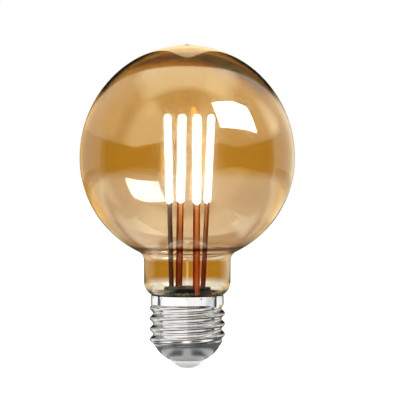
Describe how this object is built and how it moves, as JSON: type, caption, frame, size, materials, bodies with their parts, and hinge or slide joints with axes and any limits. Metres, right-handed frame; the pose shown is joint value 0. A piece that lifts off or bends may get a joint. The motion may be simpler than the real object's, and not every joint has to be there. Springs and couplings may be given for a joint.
{
  "type": "led light bulb",
  "caption": "Amber glass globe light bulb with upright glowing filaments on thin legs, a narrow neck and a bright screw cap with a grey insulator and a button contact.",
  "frame": {"origin": "end of the centre contact, on the bulb's own axis", "axes": "+Z along the bulb's axis from the screw cap to the crown of the globe; -Y faces the viewer of the picture"},
  "size_m": [0.075, 0.075, 0.113],
  "materials": {
    "amber_glass": "clear amber tint, fire polished",
    "plated_shell": "bright nickel plate on rolled sheet",
    "grey_insulator": "glossy grey",
    "contact_metal": "pale satin metal",
    "filament_coat": "glowing phosphor coat",
    "gold_strip": "gold coloured strip",
    "copper_wire": "dark red copper",
    "black_plug": "black moulded",
    "cement": "dry capping cement",
    "circuit_board": "green resist",
    "black_package": "black moulded",
    "capacitor_can": "drawn can",
    "ferrite": "dark ferrite",
    "resistor_coat": "blue-grey coat"
  },
  "bodies": {
    "root": {"bridge_rectifier": "black_package", "capacitor": "capacitor_can", "carrier_strip_1": "gold_strip", "carrier_strip_2": "gold_strip", "carrier_strip_3": "gold_strip", "carrier_strip_4": "gold_strip", "cement_ring": "cement", "centre_contact": "contact_metal", "choke": "ferrite", "driver_board": "circuit_board", "driver_chip": "black_package", "filament_1": "filament_coat", "filament_2": "filament_coat", "filament_3": "filament_coat", "filament_4": "filament_coat", "filament_base": "black_plug", "fuse_resistor": "resistor_coat", "glass_globe": "amber_glass", "insulator": "grey_insulator", "lead_wire_1_left": "copper_wire", "lead_wire_1_right": "copper_wire", "lead_wire_2_left": "copper_wire", "lead_wire_2_right": "copper_wire", "lead_wire_3_left": "copper_wire", "lead_wire_3_right": "copper_wire", "lead_wire_4_left": "copper_wire", "lead_wire_4_right": "copper_wire", "neutral_wire": "copper_wire", "screw_shell": "plated_shell"}
  },
  "joints": []
}
